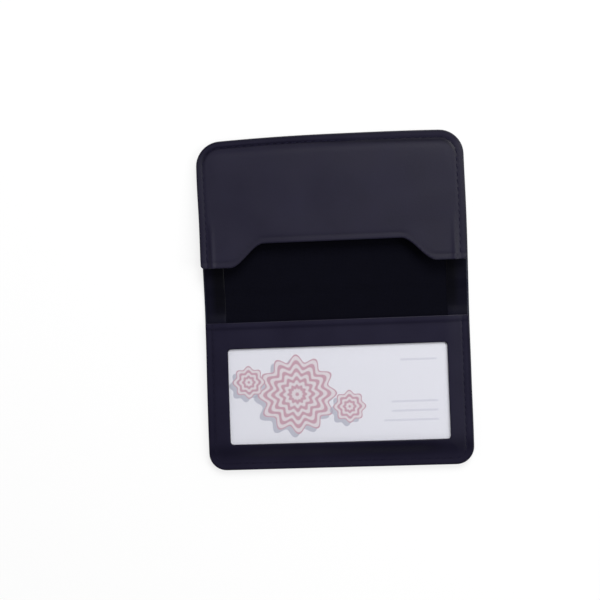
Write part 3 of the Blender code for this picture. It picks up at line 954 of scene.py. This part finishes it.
def gusset_line(share, height):
    """Point (outwards, up) of the folded strip's middle line; share runs from -1 to 1."""
    leaf = min(abs(share) / (1.0 - SEWN_SHARE), 1.0)
    sewn = max(abs(share) - (1.0 - SEWN_SHARE), 0.0) / SEWN_SHARE
    reach = math.hypot(leaf, FOLD_ROUNDING) - FOLD_ROUNDING
    reach /= math.hypot(1.0, FOLD_ROUNDING) - FOLD_ROUNDING
    outwards = (GUSSET_OUTSIDE - GUSSET_FOLD) * ((1.0 - SEWN_REACH) * reach + SEWN_REACH * sewn)
    rise = math.copysign(math.sin(leaf * math.pi / 2) ** 0.9, share)
    return outwards, rise * height / 2


def warp_gusset(point, side):
    """Fold a flat strip into the wedge between the hem and the panel."""
    top = PANEL_UNDERSIDE + lift(FLEX_Y - point.y) - GUSSET_TUCK
    room = max(top - SEAM_BOTTOM - GUSSET_LEATHER, 0.1 * MM)
    share = point.x / GUSSET_HALF
    outwards, up = gusset_line(share, room)
    ahead, rise = gusset_line(min(share + 0.01, 1.01), room)
    behind, fall = gusset_line(max(share - 0.01, -1.01), room)
    along = Vector((ahead - behind, rise - fall)).normalized()
    offset = point.z - GUSSET_LEATHER / 2
    x = side * (GUSSET_FOLD + 0.2 * MM + outwards + along.y * offset)
    height = (top + SEAM_BOTTOM) / 2 + up - along.x * offset
    return Vector((*sway(x, point.y), height))


for hand, side in (("left", -1), ("right", 1)):
    strip = plate(GUSSET_HALF, GUSSET_NEAR, GUSSET_FAR, GUSSET_LEATHER, 0.4 * MM, 1.5 * MM)
    gusset = new_piece(hand + "_gusset", strip, lambda point, side=side: warp_gusset(point, side),
                       inner_calf, "inner_leather")
    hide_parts("gusset_" + hand)
    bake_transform(gusset)

# %% [markdown]
# ## Stitches
#
# The seams are sewn with thread of the leather's own colour, about nine stitches to the inch.
# Each stitch is a small flattened ball, laid along the seam and turned a few degrees, as a lock
# stitch is. They are laid out flat and then bent by the same function as the leather, so each
# one lies in its groove.

# %% A row of stitches
STITCH_PITCH = 2.9 * MM
STITCH_SIZE = (1.15 * MM, 0.24 * MM, 0.16 * MM, 1.0)
STITCH_TURN = math.radians(7)
STITCH_SINK = 0.1 * MM


def stitch_row(start, end, radius):
    """Flattened balls along a seam: up one side, round the two corners at end, and down the other."""
    shape = bmesh.new()
    sense = 1 if end > start else -1
    half_width, radius = INNER_HALF - STITCH_INSET, radius - STITCH_INSET
    straight = abs(end - start) - STITCH_INSET - radius
    bend = radius * math.pi / 2
    total = 2 * (straight + bend + half_width - radius)
    count = int(total / STITCH_PITCH)
    for number in range(count):
        along = (number + 0.5) * total / count
        way = min(along, total - along)
        turn = min(max((way - straight) / radius, 0.0), math.pi / 2)
        x = half_width - radius * (1.0 - math.cos(turn)) - max(way - straight - bend, 0.0)
        y = start + sense * (min(way, straight) + radius * math.sin(turn))
        heading = math.pi / 2 + turn
        if way < along:
            x, heading = -x, math.pi - heading
        heading = heading * sense + STITCH_TURN
        place = Matrix.Translation((x, y, 0.0)) @ Matrix.Rotation(heading, 4, "Z")
        bmesh.ops.create_uvsphere(shape, u_segments=8, v_segments=6, radius=1.0,
                                  matrix=place @ Matrix.Diagonal(STITCH_SIZE))
    return shape


def warp_window_stitch(point):
    """Drop a stitch into the frame's groove."""
    return on_outline(point, frame_top(point) - STITCH_SINK + point.z)


def warp_pocket_stitch(point):
    """Drop a stitch into the panel's groove."""
    return raise_panel(point, MARGIN_TOP - panel_press(point) - STITCH_SINK + point.z)


# %% The two seams
window_row = stitch_row(MOUTH_Y - 1.5 * MM, -INNER_FREE_EDGE, FRAME_CORNER)
window_stitches = new_piece("window_stitches", window_row, warp_window_stitch, thread, "inner_leather")
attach(window_stitches, "back_cover")

pocket_row = stitch_row(PANEL_NEAR + 2.0 * MM, INNER_FREE_EDGE, PANEL_CORNER)
pocket_stitches = new_piece("pocket_stitches", pocket_row, warp_pocket_stitch, thread, "inner_leather")
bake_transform(pocket_stitches)

# %% [markdown]
# ## Stamped ornament
#
# The outside of the front cover has a small stamped ornament: a lozenge between two tapered
# rules. It is thin foil, pressed level with the leather.

# %% Foil on the outside
FOIL = 0.04 * MM
FOIL_Y = 36.0 * MM
LOZENGES = (2.0 * MM, 4.6 * MM)
LOZENGE_SHAPE = (1.4, 1, 1, 1)
LOZENGE_LINE = 0.6 * MM
RULE_MIDDLE = 20.0 * MM
RULE_SIZE = (24 * MM, 0.9 * MM, 1, 1)
RULE_TAPER = 0.15


def stamp_shape():
    """A lozenge inside a lozenge outline, between two tapered rules."""
    shape = bmesh.new()
    middle = Matrix.Translation((0.0, FOIL_Y, 0.0))
    for size in LOZENGES:
        bmesh.ops.create_circle(shape, cap_ends=True, radius=size, segments=4,
                                matrix=middle @ Matrix.Diagonal(LOZENGE_SHAPE))
    outline = max(shape.faces, key=lambda face: face.calc_area())
    bmesh.ops.inset_individual(shape, faces=[outline], thickness=LOZENGE_LINE, use_even_offset=True)
    bmesh.ops.delete(shape, geom=[outline], context="FACES_ONLY")
    for side in (-1, 1):
        place = Matrix.Translation((side * RULE_MIDDLE, FOIL_Y, 0.0)) @ Matrix.Diagonal(RULE_SIZE)
        rule = bmesh.ops.create_grid(shape, x_segments=1, y_segments=1, size=0.5, matrix=place)["verts"]
        for vertex in rule:
            if abs(vertex.co.x) > RULE_MIDDLE:
                vertex.co.y = FOIL_Y + (vertex.co.y - FOIL_Y) * RULE_TAPER
    thicken(shape, FOIL)
    return shape


# The foil is pressed nearly level with the outer face.
stamp = new_piece("stamped_ornament", stamp_shape(), lambda point: point - Vector((0, 0, FOIL / 4)),
                  foil, "outer_leather")
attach(stamp, "front_cover")

# %% [markdown]
# ## Floor, light and camera
#
# The photograph is a catalogue shot: the holder lies on pure white, under a broad soft light
# that comes mostly from beyond its far edge and a little from the right. The floor is lit for
# the camera by its own glow, so that it stays white while the holder still darkens it where it
# rests.

# %% Floor
# White paper: a matt sweep that keeps a faint shadow and reads as white to the camera.
GLOW_SHARE = 0.72
sweep, tree, shader, _ = new_material("white paper sweep")
fill(shader, {"Base Color": "#F2F2F2", "Roughness": 0.95})
glow = add(tree, "Emission", {"Strength": 1.06})
rays = add(tree, "LightPath").outputs
seen = add(tree, "Math", {0: rays["Is Camera Ray"], 1: GLOW_SHARE}, operation="MULTIPLY")
both = add(tree, "MixShader", {0: seen, 1: shader, 2: glow})
fill(tree.nodes["Material Output"], {"Surface": both})
bpy.ops.mesh.primitive_plane_add(size=3.0, location=(0.0, 0.0, -0.2 * MM))
floor = bpy.context.object
floor.name = "floor"
floor.data.materials.append(sweep)

# %% World
world = bpy.data.worlds.new("studio")
bpy.context.scene.world = world
world.use_nodes = True
sky = world.node_tree
heading = add(sky, "TexCoord").outputs["Generated"]
upwards = add(sky, "SeparateXYZ", {"Vector": heading}).outputs["Z"]
ceiling = add(sky, "MapRange", {"Value": upwards, "From Min": 0.35, "From Max": 0.9,
                                "To Min": 1.0, "To Max": 0.22}, interpolation_type="SMOOTHSTEP")
rays = add(sky, "LightPath").outputs
seen = rays["Is Camera Ray"]
for ray in ("Is Glossy Ray", "Is Transmission Ray"):
    seen = add(sky, "Math", {0: seen, 1: rays[ray]}, operation="MAXIMUM")
share = add(sky, "MapRange", {"Value": seen, "To Min": 0.62})
level = add(sky, "Math", {0: ceiling, 1: share}, operation="MULTIPLY")
fill(sky.nodes["Background"], {"Color": "#FFFFFF", "Strength": level})


# %% Lamps
def softbox(name, place, size, watts):
    """Square area lamp aimed at the middle of the holder."""
    lamp = bpy.data.lights.new(name, "AREA")
    lamp.size = size
    lamp.energy = watts
    body = bpy.data.objects.new(name, lamp)
    body.location = place
    body.rotation_euler = (-Vector(place)).to_track_quat("-Z", "Y").to_euler()
    bpy.context.scene.collection.objects.link(body)


softbox("far softbox", (0.22, 0.60, 0.80), 0.50, 7.0)
softbox("side softbox", (0.64, 0.0, 0.70), 0.40, 2.5)

# %% Camera
CAMERA_PLACE = Vector((37.05, 32.30, 597.03)) * MM
CAMERA_TARGET = Vector((-13.6, 0.9, 0.0)) * MM
PICTURE_UP = Vector((0.0424, 1.0, 0.0))
back = (CAMERA_PLACE - CAMERA_TARGET).normalized()
up = (PICTURE_UP - back * PICTURE_UP.dot(back)).normalized()
lens = bpy.data.cameras.new("camera")
lens.lens = 93.56
lens.sensor_width = 36.0
lens.clip_start = 0.01
camera = bpy.data.objects.new("camera", lens)
turned = Matrix((up.cross(back), up, back)).transposed().to_4x4()
camera.matrix_world = Matrix.Translation(CAMERA_PLACE) @ turned
bpy.context.scene.collection.objects.link(camera)
bpy.context.scene.camera = camera
bpy.context.scene.view_settings.view_transform = "Standard"
